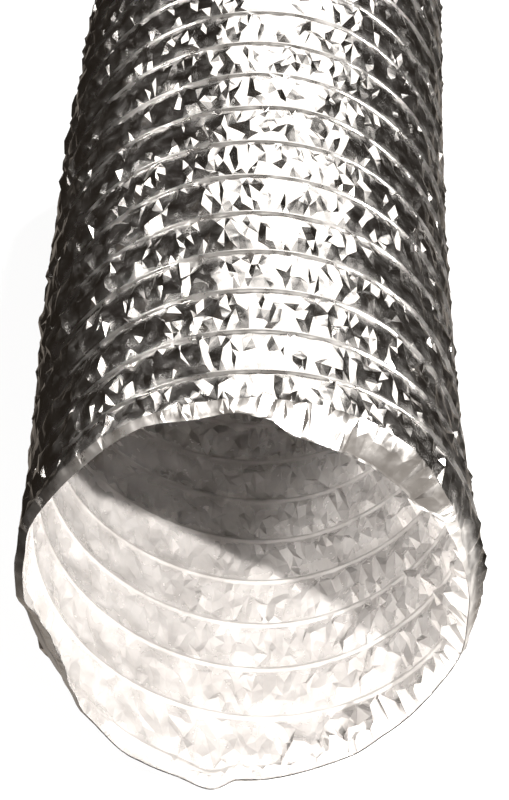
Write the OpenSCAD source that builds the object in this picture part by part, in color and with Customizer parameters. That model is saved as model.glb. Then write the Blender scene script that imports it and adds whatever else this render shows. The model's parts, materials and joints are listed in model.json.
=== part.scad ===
// Flexible air duct: two plies of aluminium foil wound over a spring-steel wire helix.
// The duct lies on its side. It runs along Y with its mouth towards -Y, and +Z is up.
// Millimetres. The origin is on the floor, under the middle of the duct.

/* [Duct] */
// Inside diameter of the foil tube
bore_d = 152; // [100:1:250]
// Distance along the duct from one turn of the wire to the next, at rest
pitch = 27; // [20:0.5:40]
// Number of flexible bays, each one turn of the wire long
bays = 13; // [4:1:13]
// Length of each plain end, which is pushed over a spigot and clamped
cuff_l = 52; // [48:1:80]
// Gap in the foil between a plain end and the first bay, where a spigot's push-on length stops
end_gap = 1.6; // [1.6:0.1:2.5]

/* [Foil] */
// Thickness of one ply of foil with its film and glue
foil_t = 0.25; // [0.15:0.05:0.5]
// Gap between neighbouring foil bands and between the foil and the wire
gap = 0.3; // [0.2:0.05:0.5]

/* [Wire] */
// Diameter of the spring-steel wire
wire_d = 1.3; // [0.8:0.1:2.5]
// How far the wire stops short of the cut foil edge at each end
wire_setback = 4; // [2:0.5:10]
// Direction in which the wire leaves the mouth: 1 is right-handed, -1 is left-handed
wire_hand = 1; // [-1, 1]

/* [Hidden] */
// Radii from the inside out: inner ply, wire, outer ply
inner_ply_r = bore_d / 2;
wire_r = inner_ply_r + foil_t + gap + wire_d / 2;
outer_ply_r = wire_r + wire_d / 2 + gap;
duct_r = outer_ply_r + foil_t;
duct_l = 2 * cuff_l + bays * pitch;

// Facets of the plain cylinders, and of the swept wire
tube_facets = 96;
wire_sides = 8;
rings_per_turn = 36;
// Half of the angle left open between two turns of the wire on different bodies
wire_cut_angle = gap / wire_r * 90 / PI;

foil_colour = [0.80, 0.80, 0.79];
inner_foil_colour = [0.88, 0.88, 0.87];
wire_colour = [0.55, 0.55, 0.56];

function two_digits(k) = str(k < 10 ? "0" : "", k);
function bay_names(stem) = [for (k = [1 : bays]) str(stem, two_digits(k))];
function bay_start(k) = cuff_l + (k - 1) * pitch;

// Turns a duct that is drawn upwards from its mouth on to its side, on the floor.
module lay_down() {
    translate([0, -duct_l / 2, duct_r]) rotate([-90, 0, 0]) children();
}

// One band of a foil ply: a plain thin tube between two distances from the mouth.
module foil_band(inside_r, from, to) {
    lay_down() translate([0, 0, from]) difference() {
        cylinder(h = to - from, r = inside_r + foil_t, $fn = tube_facets);
        translate([0, 0, -1]) cylinder(h = to - from + 2, r = inside_r, $fn = tube_facets);
    }
}

// The bands of neighbouring bays stop half a gap short of each other.
module foil_bay(inside_r, k) {
    foil_band(inside_r, bay_start(k) + gap / 2, bay_start(k + 1) - gap / 2);
}

// Angle of the wire round the duct, at a distance from the mouth.
function wire_angle(distance) = wire_hand * 360 * (distance - cuff_l) / pitch;

// Point on the wire's skin: "round" is the angle on its own small circle.
function wire_point(distance, round) =
    let (a = wire_angle(distance), r = wire_r + wire_d / 2 * cos(round))
    [r * cos(a), r * sin(a), distance + wire_d / 2 * sin(round)];

// A stretch of the wire helix between two distances from the mouth.
module wire_stretch(from, to) {
    steps = ceil((to - from) / pitch * rings_per_turn);
    points = [
        for (i = [0 : steps], j = [0 : wire_sides - 1])
            wire_point(from + (to - from) * i / steps, 360 * j / wire_sides)
    ];
    start_cap = [for (j = [0 : wire_sides - 1]) j];
    end_cap = [for (j = [wire_sides - 1 : -1 : 0]) steps * wire_sides + j];
    skin = [
        for (i = [0 : steps - 1], j = [0 : wire_sides - 1])
            let (next = (j + 1) % wire_sides, row = i * wire_sides)
            [row + j, row + wire_sides + j, row + wire_sides + next, row + next]
    ];
    faces = concat([start_cap, end_cap], skin);
    turned_faces = [for (f = faces) [for (n = [len(f) - 1 : -1 : 0]) f[n]]];
    color(wire_colour) lay_down()
        polyhedron(points = points, faces = wire_hand > 0 ? faces : turned_faces, convexity = 10);
}

module wire_turn(k) {
    cut = pitch * wire_cut_angle / 360;
    wire_stretch(bay_start(k) + cut, bay_start(k + 1) - cut);
}

module front_wire_end() {
    wire_stretch(wire_setback, cuff_l - pitch * wire_cut_angle / 360);
}

module back_wire_end() {
    wire_stretch(duct_l - cuff_l + pitch * wire_cut_angle / 360, duct_l - wire_setback);
}

module inner_foil(k) {
    color(inner_foil_colour) foil_bay(inner_ply_r, k);
}

module outer_foil(k) {
    color(foil_colour) foil_bay(outer_ply_r, k);
}

module front_inner_cuff() {
    color(inner_foil_colour) foil_band(inner_ply_r, 0, cuff_l - end_gap);
}

module front_outer_cuff() {
    color(foil_colour) foil_band(outer_ply_r, 0, cuff_l - end_gap);
}

module back_inner_cuff() {
    color(inner_foil_colour) foil_band(inner_ply_r, duct_l - cuff_l + end_gap, duct_l);
}

module back_outer_cuff() {
    color(foil_colour) foil_band(outer_ply_r, duct_l - cuff_l + end_gap, duct_l);
}

front_inner_cuff();
front_outer_cuff();
front_wire_end();
for (k = [1 : bays]) {
    inner_foil(k);
    outer_foil(k);
    wire_turn(k);
}
back_inner_cuff();
back_outer_cuff();
back_wire_end();
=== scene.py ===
import json
import math

import bmesh
import bpy
import numpy as np
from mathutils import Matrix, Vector
from mathutils.geometry import delaunay_2d_cdt

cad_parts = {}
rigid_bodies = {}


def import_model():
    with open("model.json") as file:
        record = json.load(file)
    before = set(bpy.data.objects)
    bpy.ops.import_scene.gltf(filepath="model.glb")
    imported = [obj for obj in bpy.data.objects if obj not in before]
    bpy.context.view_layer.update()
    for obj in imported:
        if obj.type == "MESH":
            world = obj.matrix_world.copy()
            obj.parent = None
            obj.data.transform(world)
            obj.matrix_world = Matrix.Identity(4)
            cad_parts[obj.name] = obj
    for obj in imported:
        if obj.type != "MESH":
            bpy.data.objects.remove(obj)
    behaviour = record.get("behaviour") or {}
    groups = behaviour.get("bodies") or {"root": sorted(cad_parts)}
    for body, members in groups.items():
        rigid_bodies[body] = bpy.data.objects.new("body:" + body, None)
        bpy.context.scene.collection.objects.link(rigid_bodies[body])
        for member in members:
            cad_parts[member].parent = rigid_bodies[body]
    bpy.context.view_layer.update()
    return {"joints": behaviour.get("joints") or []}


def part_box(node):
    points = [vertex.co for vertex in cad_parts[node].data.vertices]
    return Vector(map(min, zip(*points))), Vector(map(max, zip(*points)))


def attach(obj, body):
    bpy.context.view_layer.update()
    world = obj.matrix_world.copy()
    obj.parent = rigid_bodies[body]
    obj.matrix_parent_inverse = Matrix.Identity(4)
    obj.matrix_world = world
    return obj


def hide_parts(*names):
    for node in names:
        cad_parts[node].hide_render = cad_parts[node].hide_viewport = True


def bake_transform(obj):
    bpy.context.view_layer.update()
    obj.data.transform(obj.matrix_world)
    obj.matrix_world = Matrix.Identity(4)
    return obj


# Flexible air duct: two crumpled foil plies over a spring-steel wire helix, lying on its side.
# Metres. The duct runs along +Y from its mouth. +X is to the right for someone who looks into
# the mouth, and +Z is up.
# "theta" is the angle round the duct from +X through the underside: right, bottom, left, top.
# Shapes of the torn mouth use the angle from the top instead, in degrees, positive towards +X.

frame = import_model()

MM = 0.001
FULL = 2 * math.pi

# ---- sizes taken from the frame --------------------------------------------------------------

joints = frame["joints"]
slides = [j for j in joints if j["type"] == "slide"]
hinges = [j for j in joints if j["type"] == "hinge"]

cuff_low, cuff_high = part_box("front_outer_cuff")
wire_low, wire_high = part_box("wire_turn_01")

AXIS_Z = (cuff_high.z + cuff_low.z) / 2
FRONT_Y = cuff_low.y
BACK_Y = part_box("back_outer_cuff")[1].y
# The wire's diameter, and how far a bay's CAD band of foil stops short of the bay's border.
WIRE_D = 1.3 * MM
HALF_GAP = 0.15 * MM
WIRE_R = (wire_high.x - wire_low.x) / 2 - WIRE_D / 2
BAYS = len(slides)
BAY_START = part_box("outer_foil_01")[0].y - HALF_GAP
PITCH = slides[1]["pos_m"][1] - slides[0]["pos_m"][1]
# A slide joint stands in the middle of the part of its bay that stretches.
SLIDE_PART = 2 * (slides[0]["pos_m"][1] - BAY_START)
# A distance well beyond both ends of the duct, and one that counts as none.
FAR = 1.0
HAIR = 0.01 * MM

# ---- small tools -----------------------------------------------------------------------------


def smooth_step(x, low, high):
    """0 below low, 1 above high, and an even S between them."""
    t = np.clip((x - low) / (high - low), 0, 1)
    return t * t * (3 - 2 * t)


NOISE_WAVES = 8


def soft_noise(s, y, around, cell, seed):
    """Smooth bumps of about cell size, mostly within -1 to 1, that repeat after "around" in s."""
    draw = np.random.default_rng(seed)
    total = np.zeros(s.shape)
    for k in range(NOISE_WAVES):
        waves = draw.integers(-int(around / cell), int(around / cell) + 1)
        run = draw.uniform(-1, 1) * FULL / cell
        total += np.cos(FULL * waves * s / around + run * y + draw.uniform(0, FULL))
    return total / (NOISE_WAVES / 2)


def from_top(theta):
    """Degrees from the top of the duct, positive towards +X, -180 to 180."""
    return (np.degrees(theta) - 90) % 360 - 180


def round_mouth(theta, points):
    """A value that runs smoothly round the mouth through (degrees from the top, value) points."""
    angles = np.array([p[0] for p in points] + [points[0][0] + 360.0])
    values = np.array([p[1] for p in points] + [points[0][1]])
    a = (from_top(theta) - angles[0]) % 360 + angles[0]
    k = np.clip(np.searchsorted(angles, a, side="right") - 1, 0, len(points) - 1)
    t = smooth_step(a, angles[k], angles[k + 1])
    return values[k] + (values[k + 1] - values[k]) * t


# ---- the overall shape -----------------------------------------------------------------------

# The radius of the smooth skin midway between the two plies, and the length once round it.
SKIN_OUT = 0.05 * MM
SKIN_R = WIRE_R + SKIN_OUT
AROUND = FULL * SKIN_R
# How far the tube bows towards -X, and how far from the mouth its axis crosses back over X = 0.
BOW = 4.2 * MM
BOW_LENGTH = 405 * MM
# The mouth is wider than the tube by this share of its radius, which dies away with this reach.
FLARE = 0.012
FLARE_REACH = 19 * MM
# How far the tube is drawn in behind its mouth, and the distances in between which that comes on.
NECK = 1.6 * MM
NECK_START = 10 * MM
NECK_END = 60 * MM
# Gentle dents all over, and their size.
WAVES = 0.4 * MM
WAVE_LENGTH = 70 * MM

# How far the cut edge stands back from the mouth's plane, and how far the rim is pushed inwards,
# as (degrees from the top, mm).
SET_BACK = [
    (-176, 0), (-169, -6.5), (-159, -3), (-148, -2.2), (-131, 0), (-40, 0), (60, 0), (120, 1), (165, 0.5),
]
PUSHED_IN = [
    (-175, 0), (-148, 0), (-131, 2.5), (-122, 5.5), (-113, 8.5), (-103, 8.5), (-96, 6), (-90, 1.5), (-78, 0),
    (-69, -1.8), (-56, -0.4), (-40, 0), (38, 0), (60, 3.2), (73, 6), (95, 6), (109, 4.4), (122, 5.2),
    (141, 4.8), (154, 3),
]
# How far back along the tube the two are felt.
CUT_REACH = 26 * MM
PUSH_REACH = 13 * MM


def place(theta, y, height):
    """Where a point of the tube's wall goes. Height is measured outwards from SKIN_R."""
    in_from_mouth = y - FRONT_Y
    pushed = 1 - smooth_step(in_from_mouth, 0, PUSH_REACH)
    cut = 1 - smooth_step(in_from_mouth, 0, CUT_REACH)
    r = SKIN_R * (1 + FLARE * np.exp(-in_from_mouth / FLARE_REACH)) + height
    neck = NECK * smooth_step(in_from_mouth, NECK_START, NECK_END)
    r = r - MM * round_mouth(theta, PUSHED_IN) * pushed - neck
    r = r + WAVES * soft_noise(theta * SKIN_R, y, AROUND, WAVE_LENGTH, seed=15)
    bow = -BOW * np.sin(np.pi * in_from_mouth / BOW_LENGTH)
    x = bow + r * np.cos(theta)
    z = AXIS_Z - r * np.sin(theta)
    return np.stack([x, y + MM * round_mouth(theta, SET_BACK) * cut, z], axis=-1)


def wire_offset(theta, y):
    """How far y is from the nearest turn of the wire, along the duct."""
    past = y - BAY_START - PITCH * theta / FULL
    return (past + PITCH / 2) % PITCH - PITCH / 2


# The foil's lap over the wire ends between these two distances from both cut edges.
WIRE_GONE = 2.5 * MM
WIRE_FULL = 4.5 * MM


def wire_here(y):
    """1 where the wire runs, 0 in the plain foil beyond its two ends."""
    at_front = smooth_step(y - FRONT_Y, WIRE_GONE, WIRE_FULL)
    return at_front * smooth_step(BACK_Y - y, WIRE_GONE, WIRE_FULL)


def from_wire(theta, y):
    """Distance along the duct to the nearest turn of the wire, large in the foil beyond its ends."""
    return np.abs(wire_offset(theta, y)) + (1 - wire_here(y)) * PITCH / 2


def unit(v):
    return v / np.linalg.norm(v, axis=-1, keepdims=True)


# ---- the smooth tube under the crumples, with the foil beyond its rim ----------------------------

# Points round the tube, the distance between rows of them along it, and the rows of the lip.
COLUMNS = 360
ROW = 1.0 * MM
LIP_ROWS = 14
TUBE_ROWS = int(round((BACK_Y - FRONT_Y) / ROW)) + 1

# The foil beyond the rim, round the mouth: its length in mm, and the slope in degrees at which it
# leaves the rim and ends. Foil with a slope of 0 runs on forwards, with 90 it hangs straight
# inwards across the mouth, and with more it is rolled back in.
LIP_LENGTH = [
    (-180, 0.8), (-62, 0.8), (-46, 2.2), (-29, 1.8), (-14, 4.6), (-5, 4.0), (3, 6), (12, 11.5), (27, 12.5),
    (40, 12.5), (52, 10.5), (64, 4), (72, 1.6), (95, 0.8),
]
LIP_START = [
    (-180, 30), (-62, 50), (-46, 65), (-8, 70), (-3, 50), (23, 50), (31, 68), (52, 80), (66, 70), (95, 30),
]
LIP_END = [
    (-180, 60), (-62, 90), (-46, 80), (-8, 85), (-3, 60), (10, 60), (31, 85), (52, 98), (66, 90), (95, 60),
]
# As shares of the lip's length: where the rim starts and ends rounding over into the first slope,
# then the middle and half the length of the stretch that bends to the slope of the end.
LIP_ROUND_START = -0.08
LIP_ROUND_END = 0.12
LIP_BEND = 0.6
LIP_BEND_HALF = 0.1
# How strongly the foil beyond the rim is crumpled, as a share of the free foil's crumples.
LIP_CRUMPLE = [
    (-180, 0.2), (-60, 0.15), (-5, 0.2), (5, 0.7), (25, 0.6), (36, 0.2), (60, 0.2), (75, 0.15),
]


def lip_length(theta):
    return MM * round_mouth(theta, LIP_LENGTH)


def lip_rows(rim, theta):
    """Points of the foil beyond the rim, from its free edge back to the row before the rim."""
    first = np.radians(round_mouth(theta, LIP_START))
    last = np.radians(round_mouth(theta, LIP_END))
    inwards = np.stack([-np.cos(theta), 0 * theta, np.sin(theta)], axis=-1)
    forwards = np.array([0.0, -1.0, 0.0])
    step = lip_length(theta) / LIP_ROWS
    rows = [rim]
    for k in range(LIP_ROWS):
        t = (k + 0.5) / LIP_ROWS
        rounded = smooth_step(t, LIP_ROUND_START, LIP_ROUND_END)
        bent = smooth_step(t, LIP_BEND - LIP_BEND_HALF, LIP_BEND + LIP_BEND_HALF)
        slope = first * rounded + (last - first) * bent
        move = inwards * (np.sin(slope) * step)[:, None] + forwards * (np.cos(slope) * step)[:, None]
        rows.append(rows[-1] + move)
    return np.stack(rows[:0:-1])


def soften(points, rounds):
    """Averages a closed-round grid with its neighbours."""
    for k in range(rounds):
        points = (np.roll(points, 1, axis=1) + np.roll(points, -1, axis=1) + 2 * points) / 4
        inside = (points[:-2] + points[2:] + 2 * points[1:-1]) / 4
        points = np.concatenate([points[:1], inside, points[-1:]])
    return points


def base_grid():
    """Rows of points of the smooth tube and its lip, each with its outward unit vector."""
    theta_line = np.arange(COLUMNS) * FULL / COLUMNS
    theta, y = np.meshgrid(theta_line, np.linspace(FRONT_Y, BACK_Y, TUBE_ROWS))
    tube = place(theta, y, 0)
    base = np.concatenate([lip_rows(tube[0], theta_line), tube])
    smooth = soften(base, rounds=2)
    around = np.roll(smooth, -1, axis=1) - np.roll(smooth, 1, axis=1)
    along = np.gradient(smooth, axis=0)
    return np.concatenate([base, unit(np.cross(around, along))], axis=-1)


GRID = base_grid()


def on_base(s, y):
    """Points and outward vectors on the smooth tube. In front of the rim, y runs along the lip."""
    theta = s / SKIN_R
    lip = np.clip((FRONT_Y - y) / lip_length(theta), 0, 1)
    row = np.where(y < FRONT_Y, LIP_ROWS * (1 - lip), LIP_ROWS + (y - FRONT_Y) / ROW)
    column = theta / FULL * COLUMNS
    i = np.clip(np.floor(row).astype(int), 0, len(GRID) - 2)
    j = np.floor(column).astype(int) % COLUMNS
    k = (j + 1) % COLUMNS
    a = (row - i)[:, None]
    b = (column - np.floor(column))[:, None]
    near = (1 - b) * GRID[i, j] + b * GRID[i, k]
    far = (1 - b) * GRID[i + 1, j] + b * GRID[i + 1, k]
    mixed = (1 - a) * near + a * far
    return mixed[:, :3], unit(mixed[:, 3:])


# ---- the crease pattern, drawn on the unrolled foil ---------------------------------------------

# Half the width of the smooth band of foil lapped over the wire, the lines of corners that draw
# it, and the spacing of the corners on a line.
LAP = 1.9 * MM
LAP_LINES = [LAP * k / 3 for k in range(-3, 4)]
LAP_STEP = 2.6 * MM
# Corners of the free foil: rows between two turns, spacing round the duct, and room left beside
# a lap. Each is thrown off its place by up to these shares of the two spacings.
FREE_ROWS = 5
FREE_STEP = 2.8 * MM
LAP_ROOM = 1.9 * MM
ROW_WOBBLE = 0.4
STEP_WOBBLE = 0.45
# Corners on the rim and the cut edges, and the room left beside them.
EDGE_STEP = 1.8 * MM
EDGE_WOBBLE = 0.2
EDGE_ROOM = 1.0 * MM
# Width of the curled strip along the free edge, and how long a lip has corners behind that strip.
CURL = 0.7 * MM
LONG_LIP = 3 * CURL
# Turns of the pattern drawn past the first and the last bay, enough to cover both plain ends.
TURNS_PAST = 3
# Corners within this distance of the seam are drawn again on its far side, to close the duct.
MARGIN = 26 * MM
# Creases run along the duct more than round it, so corners are joined up with the length squashed.
SQUASH = 0.4
# The triangles fill the convex hull of the corners. Corners nearer than this, in mm, are one.
CONVEX_HULL = 0
SAME_CORNER = 0.0001

random = np.random.default_rng(7)


def spaced(step, wobble=0.0):
    """Places round the duct, about a step apart, each moved by up to wobble steps."""
    count = int(round(AROUND / step))
    return (np.arange(count) + random.uniform(-wobble, wobble, count)) * AROUND / count % AROUND


def wound(s, n, u):
    """Distances along the duct that follow turn n of the wire, u beyond it."""
    return BAY_START + PITCH * (s / AROUND + n) + u


def crease_corners():
    """Where creases meet: distances round the duct and along it."""
    rows = []
    for n in range(-TURNS_PAST, BAYS + TURNS_PAST):
        # The smooth band over the wire.
        for line in LAP_LINES:
            s = spaced(LAP_STEP)
            y = wound(s, n, line)
            on_wire = wire_here(y) > 0.5
            rows.append((s[on_wire], y[on_wire]))
        # The free foil up to the next turn.
        for row in range(FREE_ROWS):
            s = spaced(FREE_STEP, STEP_WOBBLE)
            thrown = row + 0.5 + random.uniform(-ROW_WOBBLE, ROW_WOBBLE, len(s))
            y = wound(s, n, PITCH * thrown / FREE_ROWS)
            clear = from_wire(s / SKIN_R, y) > LAP + LAP_ROOM
            rows.append((s[clear], y[clear]))
    s, y = np.concatenate(rows, axis=1)
    front = FRONT_Y - lip_length(s / SKIN_R)
    off_edges = (y > front + EDGE_ROOM) & (y < BACK_Y - EDGE_ROOM) & (np.abs(y - FRONT_Y) > EDGE_ROOM)
    rows = [(s[off_edges], y[off_edges])]
    # The rim, the back edge and the lip's free edge.
    s = spaced(EDGE_STEP, EDGE_WOBBLE)
    rows.append((s, 0 * s + FRONT_Y))
    rows.append((s, 0 * s + BACK_Y))
    free_edge = FRONT_Y - lip_length(s / SKIN_R)
    rows.append((s, free_edge))
    long_lip = free_edge < FRONT_Y - LONG_LIP
    rows.append((s[long_lip], free_edge[long_lip] + CURL))
    return np.concatenate(rows, axis=1)


def join_corners(s, y):
    """Triangles between neighbouring corners, closed round the duct."""
    numbers = np.tile(np.arange(len(s)), 3)
    wide_s = np.concatenate([s - AROUND, s, s + AROUND])
    wide_y = np.tile(y, 3)
    keep = (wide_s > -MARGIN) & (wide_s < AROUND + MARGIN)
    numbers, wide_s, wide_y = numbers[keep], wide_s[keep], wide_y[keep]
    flat = [Vector(point) for point in zip(wide_s / MM, wide_y * SQUASH / MM)]
    joined = delaunay_2d_cdt(flat, [], [], CONVEX_HULL, SAME_CORNER)
    first = np.array([inputs[0] for inputs in joined[3]])
    faces = first[np.array(joined[2])]
    middle_s = wide_s[faces].mean(axis=1)
    middle_y = wide_y[faces].mean(axis=1)
    keep = (middle_s >= 0) & (middle_s < AROUND) & (middle_y > FRONT_Y - lip_length(middle_s / SKIN_R))
    return numbers[faces[keep]]


CORNER_S, CORNER_Y = crease_corners()
FACES = join_corners(CORNER_S, CORNER_Y)
CORNER_THETA = CORNER_S / SKIN_R
U = from_wire(CORNER_THETA, CORNER_Y)
BASE, OUT = on_base(CORNER_S, CORNER_Y)
IN_LAP = (U[FACES] < LAP + HAIR).all(axis=1)

# ---- crumples and wear, at each corner ---------------------------------------------------------

IN_FROM_MOUTH = CORNER_Y - FRONT_Y
# Width of the smooth hem at the mouth, in mm.
HEM_WIDTH = [(-180, 7), (52, 7), (74, 13), (115, 13), (140, 7)]
HEM = MM * round_mouth(CORNER_THETA, HEM_WIDTH)
# The foil is fully rubbed as far as this share of the hem, and fully crumpled past this one.
HEM_RUBBED = 0.3
HEM_CRUMPLED = 1.3
# How far the foil is rubbed at the mouth's edge, where 1 is the wear over the wire.
EDGE_WEAR = [(-180, 0.3), (-70, 0.5), (-40, 1), (0, 0.3), (54, 0.3), (68, 1.8), (110, 1.8), (135, 0.5)]
# The wear over the wire fades out from a little inside the edge of a lap to a little outside it.
WEAR_INSIDE = 0.4 * MM
WEAR_OUTSIDE = 0.6 * MM

# How far the skin stands out midway between two turns, and how much more inside the duct's bend.
BULGE = 0.4 * MM
BEND_BULGE = 1.9 * MM
# Its crumples: a random height at every corner, taller but rarer peaks, and folds of a certain
# size, which stand out from their middle height and in from it.
CRUMPLE = 0.4 * MM
PEAK = 0.85 * MM
FOLD = 0.7 * MM
FOLD_CELL = 13 * MM
FOLD_MIDDLE = 0.4
# A lap's edge is gathered in by up to this, and the free edge of the lip is curled out by this.
GATHER = 0.35 * MM
CURL_OUT = 0.45 * MM
# How near a lap's edge a corner counts as on it, and how far beside it the skin crumples in full.
ON_LAP_EDGE = 0.1 * MM
SKIN_FREED = 1.5 * MM
# The lip's free edge is crumpled by this share, which grows to the whole over this distance.
FREE_EDGE_SHARE = 0.3
FREE_EDGE_REACH = 3 * MM

# How far the inner ply sags in wide folds, in tight folds and at random, and the folds' sizes.
WIDE_SAG = 2.2 * MM
WIDE_CELL = 12 * MM
TIGHT_SAG = 2.4 * MM
TIGHT_CELL = 7 * MM
RANDOM_SAG = 0.8 * MM
# How much of that there is all over, how much more at the right, and how much more by the mouth.
SAG_SHARE = 0.25
RIGHT_SHARE = 0.95
MOUTH_SHARE = 1.6
# Where round the mouth it sags more, as a share of the most, and how far in that fades out.
MOUTH_SAG = [(-180, 0.3), (-60, 0.2), (70, 0.3), (95, 1), (160, 1)]
MOUTH_FADE_START = 8 * MM
MOUTH_FADE_END = 18 * MM
# It doesn't sag at the rim and at a lap. This far from the rim and from a lap it sags in full.
RIM_FREED = 3 * MM
LAP_FREED = 2.5 * MM


def worn():
    """How far handling has rubbed the foil: over the wire and at the mouth's edge."""
    over_wire = 1 - smooth_step(U, LAP - WEAR_INSIDE, LAP + WEAR_OUTSIDE)
    at_edge = 1 - smooth_step(IN_FROM_MOUTH, HEM_RUBBED * HEM, HEM)
    return np.maximum(over_wire, round_mouth(CORNER_THETA, EDGE_WEAR) * at_edge)


def skin_height():
    """How far each corner of the glued plies stands out from the smooth tube."""
    free = smooth_step(U, LAP, LAP + SKIN_FREED)
    between = np.sqrt(np.clip(np.sin(np.pi * np.minimum(U / PITCH, 0.5)), 0, 1)) * free
    inside_bend = np.clip(-np.cos(CORNER_THETA), 0, 1) ** 2
    bulge = (BULGE + BEND_BULGE * inside_bend) * between
    throw = random.uniform(-1, 1, len(U))
    folds = np.abs(soft_noise(CORNER_S, CORNER_Y, AROUND, FOLD_CELL, seed=17)) - FOLD_MIDDLE
    crumple = CRUMPLE * throw + PEAK * throw**3 + FOLD * folds
    gathers = GATHER * random.uniform(0, 1, len(U)) * (np.abs(U - LAP) < ON_LAP_EDGE)
    lip = round_mouth(CORNER_THETA, LIP_CRUMPLE)
    share = lip + (1 - lip) * smooth_step(IN_FROM_MOUTH, 0, HEM_CRUMPLED * HEM)
    past_edge = IN_FROM_MOUTH + lip_length(CORNER_THETA)
    grown = smooth_step(past_edge, 0, FREE_EDGE_REACH)
    share = share * (FREE_EDGE_SHARE + (1 - FREE_EDGE_SHARE) * grown)
    curl = CURL_OUT * (1 - smooth_step(past_edge, 0, CURL))
    return bulge + crumple * free * share - gathers + curl


def sag():
    """How far each corner of the inner ply hangs in from the skin, crumpled on its own."""
    free = smooth_step(U, LAP, LAP + LAP_FREED)
    at_right = np.clip(np.cos(CORNER_THETA), 0, 1)
    fade = 1 - smooth_step(IN_FROM_MOUTH, MOUTH_FADE_START, MOUTH_FADE_END)
    at_mouth = round_mouth(CORNER_THETA, MOUTH_SAG) * fade
    share = SAG_SHARE + RIGHT_SHARE * at_right + MOUTH_SHARE * at_mouth
    share = share * smooth_step(IN_FROM_MOUTH, 0, RIM_FREED)
    wide = WIDE_SAG * np.abs(soft_noise(CORNER_S, CORNER_Y, AROUND, WIDE_CELL, seed=18))
    tight = TIGHT_SAG * np.abs(soft_noise(CORNER_S, CORNER_Y, AROUND, TIGHT_CELL, seed=19))
    at_random = RANDOM_SAG * random.uniform(0, 1, len(U)) ** 2
    return (wide + tight + at_random) * free * share


RUBBED = worn()
SKIN = skin_height()
SAG = sag()
# The wire presses a round crown of this height and width into both plies.
CROWN_HEIGHT = 0.75 * MM
CROWN_WIDTH = 1.3 * MM
CROWN = CROWN_HEIGHT * np.exp(-((U / CROWN_WIDTH) ** 2))
# How far each ply lies from the skin between them.
APART = 0.2 * MM
# How far the outer ply, the inner ply and the wire stay above the floor.
FLOOR_GAP = {1: 0.3 * MM, -1: 0.9 * MM}
WIRE_FLOOR_GAP = 0.5 * MM


def corner_normals(points):
    """Average normal of the facets that meet at each corner."""
    a, b, c = (points[FACES[:, k]] for k in range(3))
    facet = np.cross(b - a, c - a)
    total = np.zeros(points.shape)
    for k in range(3):
        np.add.at(total, FACES[:, k], facet)
    return unit(total)


def ply(side):
    """Corner points and normals of one ply: side is 1 for the outer ply and -1 for the inner one."""
    height = SKIN + side * (APART + CROWN)
    if side < 0:
        height = height - SAG
    points = BASE + OUT * height[:, None]
    points[:, 2] = np.maximum(points[:, 2], FLOOR_GAP[side])
    return points, side * corner_normals(points)


# ---- meshes ----------------------------------------------------------------------------------


def make_object(name, points, faces, material):
    """A mesh object whose faces all have the same number of corners."""
    mesh = bpy.data.meshes.new(name)
    mesh.vertices.add(len(points))
    mesh.vertices.foreach_set("co", np.asarray(points, np.float32).ravel())
    faces = np.asarray(faces, np.int32)
    mesh.loops.add(faces.size)
    mesh.loops.foreach_set("vertex_index", faces.ravel())
    mesh.polygons.add(len(faces))
    mesh.polygons.foreach_set("loop_start", np.arange(0, faces.size, faces.shape[1], dtype=np.int32))
    mesh.update(calc_edges=True)
    mesh.polygons.foreach_set("use_smooth", np.ones(len(faces), bool))
    mesh.materials.append(material)
    obj = bpy.data.objects.new(name, mesh)
    bpy.context.scene.collection.objects.link(obj)
    return obj


def add_values(mesh, name, kind, values):
    """Gives every point of a mesh a named value."""
    layer = mesh.attributes.new(name, kind, "POINT")
    field = "value" if kind == "FLOAT" else "vector"
    layer.data.foreach_set(field, np.asarray(values, np.float32).ravel())


def read_values(rows, field, width=1, kind=np.float32):
    """One field of all rows of a mesh's data, as an array with one row or number each."""
    values = np.empty(len(rows) * width, kind)
    rows.foreach_get(field, values)
    return values.reshape(-1, width) if width > 1 else values


def trim(mesh, low, high):
    """Cuts off what lies outside two planes across the duct."""
    shape = bmesh.new()
    shape.from_mesh(mesh)
    for y, inwards in ((low, 1), (high, -1)):
        bmesh.ops.bisect_plane(
            shape, geom=shape.verts[:] + shape.edges[:] + shape.faces[:], dist=HAIR,
            plane_co=(0, y, 0), plane_no=(0, inwards, 0), clear_inner=True,
        )
    shape.to_mesh(mesh)
    shape.free()


# How much of a facet's shading bends over into its neighbours, as a foil crease is never knife-sharp.
# The inner ply is sharply creased on the right, and softer by the last of these on the left.
OUTER_SOFTNESS = 0.35
INNER_SOFTNESS = 0.12
SOFTER_LEFT = 0.68
LEFTWARDS = smooth_step(-np.cos(CORNER_THETA), 0, 0.8)
SOFTNESS = {1: OUTER_SOFTNESS + 0 * U, -1: INNER_SOFTNESS + SOFTER_LEFT * LEFTWARDS}


def shade_facets(mesh):
    """Shades the laps over the wire round, and other facets flat apart from their softness."""
    vertex = read_values(mesh.loops, "vertex_index", kind=np.int32)
    corners = read_values(mesh.polygons, "loop_total", kind=np.int32)
    in_lap = read_values(mesh.polygons, "use_smooth", kind=bool)
    flat = read_values(mesh.polygons, "normal", 3)
    round_normal = read_values(mesh.attributes["round_normal"].data, "vector", 3)
    softness = read_values(mesh.attributes["softness"].data, "value")
    share = np.where(np.repeat(in_lap, corners), 1.0, softness[vertex])[:, None]
    flat = np.repeat(flat, corners, axis=0)
    normals = unit(share * round_normal[vertex] + (1 - share) * flat)
    mesh.polygons.foreach_set("use_smooth", np.ones(len(mesh.polygons), bool))
    mesh.normals_split_custom_set(normals.astype(np.float32))


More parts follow.
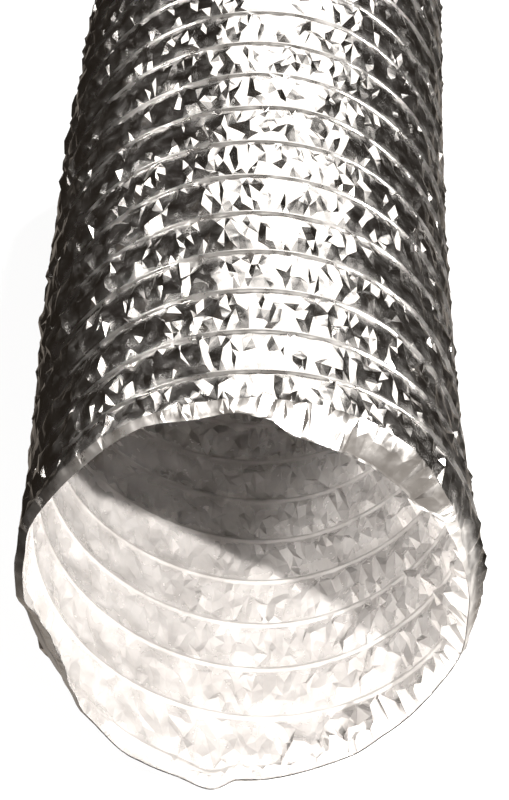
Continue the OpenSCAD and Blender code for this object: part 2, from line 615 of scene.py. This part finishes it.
def tube_faces(rows, columns):
    """Quads of a tube of points: rows along it, columns round it."""
    i, j = np.meshgrid(np.arange(rows - 1), np.arange(columns), indexing="ij")
    this = i * columns
    after = (i + 1) * columns
    k = (j + 1) % columns
    return np.stack([this + j, after + j, after + k, this + k], axis=-1).reshape(-1, 4)


# ---- materials -------------------------------------------------------------------------------


def new_material(name):
    material = bpy.data.materials.new(name)
    material.use_nodes = True
    tree = material.node_tree
    return material, tree, tree.nodes["Principled BSDF"]


def noise_node(tree, vector, scale, detail, kind="FBM"):
    node = tree.nodes.new("ShaderNodeTexNoise")
    node.noise_type = kind
    node.inputs["Scale"].default_value = scale
    node.inputs["Detail"].default_value = detail
    tree.links.new(vector, node.inputs["Vector"])
    return node.outputs["Fac"]


def ramp_node(tree, source, low, high, low_colour, high_colour):
    """One colour where the source is below low, the other above high, and a blend between."""
    node = tree.nodes.new("ShaderNodeValToRGB")
    node.color_ramp.elements[0].position = low
    node.color_ramp.elements[1].position = high
    node.color_ramp.elements[0].color = (*low_colour, 1)
    node.color_ramp.elements[1].color = (*high_colour, 1)
    tree.links.new(source, node.inputs["Fac"])
    return node.outputs["Color"]


def math_node(tree, operation, *values):
    """A calculation on numbers and on the outputs of other nodes."""
    node = tree.nodes.new("ShaderNodeMath")
    node.operation = operation
    for k, value in enumerate(values):
        if isinstance(value, (int, float)):
            node.inputs[k].default_value = value
        else:
            tree.links.new(value, node.inputs[k])
    return node.outputs[0]


# How much rougher wholly rubbed foil is, and how deep the fine creases are.
WEAR = 0.13
CREASE = 0.1 * MM


def foil_material(name, tint, dull, rough_low, rough_high, metallic, creasing):
    """Foil with faint stains and fine creases. Where it is rubbed it is duller and not creased."""
    material, tree, shader = new_material(name)
    place_out = tree.nodes.new("ShaderNodeTexCoord").outputs["Object"]
    shader.inputs["Metallic"].default_value = metallic
    stains = noise_node(tree, place_out, scale=70, detail=5)
    tree.links.new(ramp_node(tree, stains, 0.35, 0.65, dull, tint), shader.inputs["Base Color"])
    attribute = tree.nodes.new("ShaderNodeAttribute")
    attribute.attribute_name = "rubbed"
    rubbed = attribute.outputs["Fac"]
    scuffs = noise_node(tree, place_out, scale=170, detail=4)
    rough = ramp_node(tree, scuffs, 0.35, 0.7, (rough_low,) * 3, (rough_high,) * 3)
    tree.links.new(math_node(tree, "MULTIPLY_ADD", rubbed, WEAR, rough), shader.inputs["Roughness"])
    creases = noise_node(tree, place_out, scale=200, detail=3, kind="RIDGED_MULTIFRACTAL")
    fresh = math_node(tree, "SUBTRACT", 1.0, rubbed)
    deepened = math_node(tree, "MULTIPLY", creases, creasing)
    height = math_node(tree, "MULTIPLY", deepened, fresh)
    bump = tree.nodes.new("ShaderNodeBump")
    bump.inputs["Strength"].default_value = 1.0
    bump.inputs["Distance"].default_value = CREASE
    tree.links.new(height, bump.inputs["Height"])
    tree.links.new(bump.outputs["Normal"], shader.inputs["Normal"])
    return material


def steel_material():
    """Bare spring steel with darker and rougher streaks."""
    material, tree, shader = new_material("wire_steel")
    place_out = tree.nodes.new("ShaderNodeTexCoord").outputs["Object"]
    shader.inputs["Metallic"].default_value = 1.0
    streaks = noise_node(tree, place_out, scale=220, detail=5)
    colour = ramp_node(tree, streaks, 0.35, 0.65, (0.36, 0.35, 0.34), (0.60, 0.59, 0.58))
    tree.links.new(colour, shader.inputs["Base Color"])
    rough = ramp_node(tree, streaks, 0.3, 0.7, (0.28,) * 3, (0.5,) * 3)
    tree.links.new(rough, shader.inputs["Roughness"])
    return material


outer_material = foil_material(
    "outer_foil", tint=(0.93, 0.91, 0.89), dull=(0.81, 0.79, 0.77),
    rough_low=0.12, rough_high=0.26, metallic=1.0, creasing=1.0,
)
# The inner ply is the same foil with its colour painted about half as bright: painted shade for the inside
# of the duct, which has lamps of its own.
inner_material_with_painted_shade = foil_material(
    "inner_foil", tint=(0.50, 0.485, 0.475), dull=(0.36, 0.345, 0.335),
    rough_low=0.16, rough_high=0.30, metallic=0.58, creasing=1.8,
)
wire_material = steel_material()

# ---- the pieces -----------------------------------------------------------------------------

BAYS_END = BAY_START + BAYS * PITCH
WIRE_SIDES = 8
# Straight steps in one turn of the wire, and the fewest in a piece of it.
WIRE_STEPS = 120
FEWEST_STEPS = 4


def bay_strips():
    """Each bay's sliding strip and bending strip: bay number, name, start, end and joint."""
    for k in range(BAYS):
        start = BAY_START + k * PITCH
        middle = start + SLIDE_PART
        yield k + 1, "pull", start, middle, slides[k]
        yield k + 1, "bend", middle, start + PITCH, hinges[k]


def blend_strip(piece):
    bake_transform(piece)


def foil_pieces(stem, side, material, cuff_nodes, bay_node):
    """Cuts one ply into its two plain ends and each bay's sliding strip and bending strip."""
    points, normals = ply(side)
    ways = FACES if side > 0 else FACES[:, ::-1]
    facet_y = points[FACES, 1]

    def cut(name, low, high):
        here = (facet_y.max(axis=1) > low) & (facet_y.min(axis=1) < high)
        used, faces = np.unique(ways[here], return_inverse=True)
        piece = make_object(name, points[used], faces.reshape(-1, 3), material)
        # Smooth faces mark the laps here. trim() keeps the mark, and shade_facets() reads it.
        piece.data.polygons.foreach_set("use_smooth", IN_LAP[here])
        add_values(piece.data, "rubbed", "FLOAT", RUBBED[used])
        add_values(piece.data, "round_normal", "FLOAT_VECTOR", normals[used])
        add_values(piece.data, "softness", "FLOAT", SOFTNESS[side][used])
        trim(piece.data, low, high)
        shade_facets(piece.data)
        return piece

    front = cut(stem + "_front", -FAR, BAY_START)
    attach(front, "front_end")
    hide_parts(cuff_nodes[0])
    back = cut(stem + "_back", BAYS_END, FAR)
    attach(back, "back_end")
    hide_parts(cuff_nodes[1])
    for number, part, low, high, joint in bay_strips():
        piece = cut("%s_%02d_%s" % (stem, number, part), low, high)
        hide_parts(bay_node % number)
        blend_strip(piece)


def wire_piece(name, low, high):
    """A stretch of the wire helix as a round tube."""
    steps = max(FEWEST_STEPS, int(round((high - low) / PITCH * WIRE_STEPS)))
    y = np.linspace(low, high, steps + 1)[:, None]
    theta = FULL * (y - BAY_START) / PITCH
    ring = np.linspace(0, FULL, WIRE_SIDES, endpoint=False)[None, :]
    height = WIRE_R - SKIN_R + WIRE_D / 2 * np.cos(ring) + 0 * y
    points = place(theta + 0 * ring, y + 0 * ring, height)
    points[..., 1] += WIRE_D / 2 * np.sin(ring)
    points[..., 2] = np.maximum(points[..., 2], WIRE_FLOOR_GAP)
    piece = make_object(name, points.reshape(-1, 3), tube_faces(steps + 1, WIRE_SIDES), wire_material)
    return piece


def wire_pieces():
    front = wire_piece("wire_front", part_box("front_wire_end")[0].y + WIRE_D / 2, BAY_START)
    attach(front, "front_end")
    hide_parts("front_wire_end")
    back = wire_piece("wire_back", BAYS_END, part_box("back_wire_end")[1].y - WIRE_D / 2)
    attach(back, "back_end")
    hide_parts("back_wire_end")
    for number, part, low, high, joint in bay_strips():
        piece = wire_piece("wire_%02d_%s" % (number, part), low, high)
        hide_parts("wire_turn_%02d" % number)
        blend_strip(piece)


foil_pieces(
    "outer_ply", 1, outer_material,
    ("front_outer_cuff", "back_outer_cuff"), "outer_foil_%02d",
)
foil_pieces(
    "inner_ply", -1, inner_material_with_painted_shade,
    ("front_inner_cuff", "back_inner_cuff"), "inner_foil_%02d",
)
wire_pieces()

# ---- camera, floor and light ------------------------------------------------------------------

MOUTH = (0, FRONT_Y, AXIS_Z)
MIDDLE = (0, 0, AXIS_Z)
FAR_END = (0, BACK_Y, AXIS_Z)

# The camera looks down at the top of the mouth's rim, from in front and a little to the right.
CAMERA_AZIMUTH = math.radians(0.82)
CAMERA_ELEVATION = math.radians(32.5)
CAMERA_DISTANCE = 1.049
CAMERA_TARGET = Vector((0.4 * MM, FRONT_Y, AXIS_Z + 77.6 * MM))
SENSOR_WIDTH = 36
FOCAL_LENGTH = 146.9

# The colour of all lamps.
WARM = (1.0, 0.97, 0.935)
# Lamps: name, place, what it is aimed at, width and height, watts, and the ply it leaves dark. The
# key stands in its place twice, so that each ply gets its own share of it.
KEY_PLACE = (0.48, FRONT_Y - 0.90, 0.90)
LAMPS = [
    ("back_band", (0.28, 1.6, 0.95), MIDDLE, (1.1, 1.0), 7, "inner_ply"),
    ("outer_key", KEY_PLACE, MOUTH, (0.03, 0.03), 215, "inner_ply"),
    ("inner_key", KEY_PLACE, MOUTH, (0.03, 0.03), 106, "outer_ply"),
    ("inner_fill", (-0.62, FRONT_Y - 1.0, 0.62), MOUTH, (0.16, 0.16), 56, "outer_ply"),
    ("inner_back", (0.3, BACK_Y + 0.7, 0.95), FAR_END, (0.1, 0.1), 60, "outer_ply"),
    ("left_strip", (-0.9, 0.9, 1.2), MIDDLE, (0.12, 0.6), 3, None),
    ("right_strip", (1.2, 0.5, 0.9), MIDDLE, (0.15, 0.6), 6, None),
]

# The camera sees a white backdrop and other light a pale room. Foil mirrors a painted reflection of a dark
# room, which turns from nearly black to grey upwards and forwards: a direction's Z and -Y, weighted and
# added, run from the start to the end.
WHITE = (1.0, 1.0, 1.0, 1)
PAINTED_REFLECTION_BLACK = (0.016, 0.0125, 0.0095)
PAINTED_ROOM_REFLECTION_GREY = (0.10, 0.084, 0.07)
ROOM_UP = 0.8
ROOM_FORWARDS = 0.6
ROOM_GREY_START = 0.05
ROOM_GREY_END = 0.7

# Half the side of the square floor, and how far the camera sees it bleached to plain white.
FLOOR_HALF = 4.0
FLOOR_BLEACHED = 0.88
# Foil mirrors a painted reflection of the floor, grey under the duct, fading out between these distances
# beside its axis to nearly black.
PAINTED_REFLECTION_UNDER = (0.30, 0.264, 0.228)
UNDER_FADE_START = 0.10
UNDER_FADE_END = 0.21
# The painted reflection is grey in front of the duct too. That fades in between these distances from the
# duct's middle, and only to the right of this X.
PAINTED_REFLECTION_IN_FRONT = (0.30, 0.275, 0.25)
FRONT_START = 0.12
FRONT_END = 0.20
FRONT_LEFT_X = -0.12


def look(obj, location, target):
    obj.location = location
    obj.rotation_euler = (Vector(target) - Vector(location)).to_track_quat("-Z", "Y").to_euler()


def add_camera():
    data = bpy.data.cameras.new("camera")
    data.sensor_width = SENSOR_WIDTH
    data.lens = FOCAL_LENGTH
    camera = bpy.data.objects.new("camera", data)
    bpy.context.scene.collection.objects.link(camera)
    across = math.cos(CAMERA_ELEVATION)
    back = Vector((
        math.sin(CAMERA_AZIMUTH) * across, -math.cos(CAMERA_AZIMUTH) * across, math.sin(CAMERA_ELEVATION),
    ))
    look(camera, CAMERA_TARGET + back * CAMERA_DISTANCE, CAMERA_TARGET)
    bpy.context.scene.camera = camera


def add_light(name, location, target, size, power):
    """A rectangular lamp."""
    data = bpy.data.lights.new(name, "AREA")
    data.shape = "RECTANGLE"
    data.size, data.size_y = size
    data.energy = power
    data.color = WARM
    light = bpy.data.objects.new(name, data)
    bpy.context.scene.collection.objects.link(light)
    look(light, location, target)
    return light


def leave_dark(light, stem):
    """Keeps a light off the pieces whose names start with a stem, as a flag beside it would."""
    shaded = bpy.data.collections.new("shaded_from_" + light.name)
    light.light_linking.receiver_collection = shaded
    for piece in bpy.data.objects:
        if piece.name.startswith(stem):
            shaded.objects.link(piece)
    for entry in shaded.collection_objects:
        entry.light_linking.link_state = "EXCLUDE"


def add_lamps():
    for name, location, target, size, power, dark_ply in LAMPS:
        lamp = add_light(name, location, target, size, power)
        if dark_ply:
            leave_dark(lamp, dark_ply)


def mix_shaders(tree, share, first, second):
    """The first shader where share is 0, and the second where it is 1."""
    node = tree.nodes.new("ShaderNodeMixShader")
    tree.links.new(share, node.inputs[0])
    tree.links.new(first, node.inputs[1])
    tree.links.new(second, node.inputs[2])
    return node.outputs[0]


def lighter_of(tree, first, second):
    """The lighter of two colours, channel by channel."""
    node = tree.nodes.new("ShaderNodeMixRGB")
    node.blend_type = "LIGHTEN"
    node.inputs[0].default_value = 1.0
    tree.links.new(first, node.inputs[1])
    tree.links.new(second, node.inputs[2])
    return node.outputs[0]


def split_place(tree, coordinate):
    """The X, Y and Z outputs of a texture coordinate."""
    node = tree.nodes.new("ShaderNodeSeparateXYZ")
    place_out = tree.nodes.new("ShaderNodeTexCoord").outputs[coordinate]
    tree.links.new(place_out, node.inputs[0])
    return node.outputs


def painted_floor_reflection(tree):
    """The painted reflection that foil mirrors in place of the floor: grey near the duct, nearly black
    farther off.
    """
    spot = split_place(tree, "Object")
    sideways = math_node(tree, "ABSOLUTE", spot["X"])
    under = ramp_node(tree, sideways, UNDER_FADE_START, UNDER_FADE_END, PAINTED_REFLECTION_UNDER, PAINTED_REFLECTION_BLACK)
    ahead = math_node(tree, "MULTIPLY", spot["Y"], -1.0)
    to_the_right = math_node(tree, "GREATER_THAN", spot["X"], FRONT_LEFT_X)
    ahead_there = math_node(tree, "MULTIPLY", ahead, to_the_right)
    front = ramp_node(tree, ahead_there, FRONT_START, FRONT_END, (0, 0, 0), PAINTED_REFLECTION_IN_FRONT)
    return lighter_of(tree, under, front)


def add_floor():
    """A pale floor with a faint shadow. Foil mirrors a painted reflection of it instead, darker and grey
    only near the duct.
    """
    material, tree, shader = new_material("floor")
    shader.inputs["Base Color"].default_value = (0.6, 0.6, 0.6, 1)
    shader.inputs["Roughness"].default_value = 0.9
    # Painted reflection: glossy rays see this emitted grey near the duct, nearly black farther off, in place
    # of the pale floor.
    mirrored = tree.nodes.new("ShaderNodeEmission")
    tree.links.new(painted_floor_reflection(tree), mirrored.inputs["Color"])
    glow = tree.nodes.new("ShaderNodeEmission")
    glow.inputs["Color"].default_value = WHITE
    path = tree.nodes.new("ShaderNodeLightPath")
    bleached = math_node(tree, "MULTIPLY", path.outputs["Is Camera Ray"], FLOOR_BLEACHED)
    seen = mix_shaders(tree, bleached, shader.outputs[0], glow.outputs[0])
    surface = mix_shaders(tree, path.outputs["Is Glossy Ray"], seen, mirrored.outputs[0])
    tree.links.new(surface, tree.nodes["Material Output"].inputs["Surface"])
    half = FLOOR_HALF
    points = [(-half, -half, 0), (half, -half, 0), (half, half, 0), (-half, half, 0)]
    floor = make_object("floor", points, [(0, 1, 2, 3)], material)


def set_world():
    """A pale room with a white backdrop. Foil mirrors a painted reflection of a dark room instead."""
    world = bpy.data.worlds.new("studio")
    bpy.context.scene.world = world
    world.use_nodes = True
    tree = world.node_tree
    pale = tree.nodes["Background"]
    pale.inputs["Color"].default_value = (0.9, 0.9, 0.9, 1)
    pale.inputs["Strength"].default_value = 0.35
    backdrop = tree.nodes.new("ShaderNodeBackground")
    backdrop.inputs["Color"].default_value = WHITE
    mirrored = tree.nodes.new("ShaderNodeBackground")
    way = split_place(tree, "Generated")
    ahead = math_node(tree, "MULTIPLY", way["Y"], -ROOM_FORWARDS)
    raised = math_node(tree, "MULTIPLY_ADD", way["Z"], ROOM_UP, ahead)
    # Painted reflection that glossy rays alone see: nearly black low and behind, grey up and ahead.
    shade = ramp_node(tree, raised, ROOM_GREY_START, ROOM_GREY_END, PAINTED_REFLECTION_BLACK, PAINTED_ROOM_REFLECTION_GREY)
    tree.links.new(shade, mirrored.inputs["Color"])
    path = tree.nodes.new("ShaderNodeLightPath")
    seen = mix_shaders(tree, path.outputs["Is Camera Ray"], pale.outputs[0], backdrop.outputs[0])
    surface = mix_shaders(tree, path.outputs["Is Glossy Ray"], seen, mirrored.outputs[0])
    tree.links.new(surface, tree.nodes["World Output"].inputs["Surface"])


add_camera()
add_floor()
set_world()
add_lamps()
bpy.context.scene.view_settings.view_transform = "Standard"
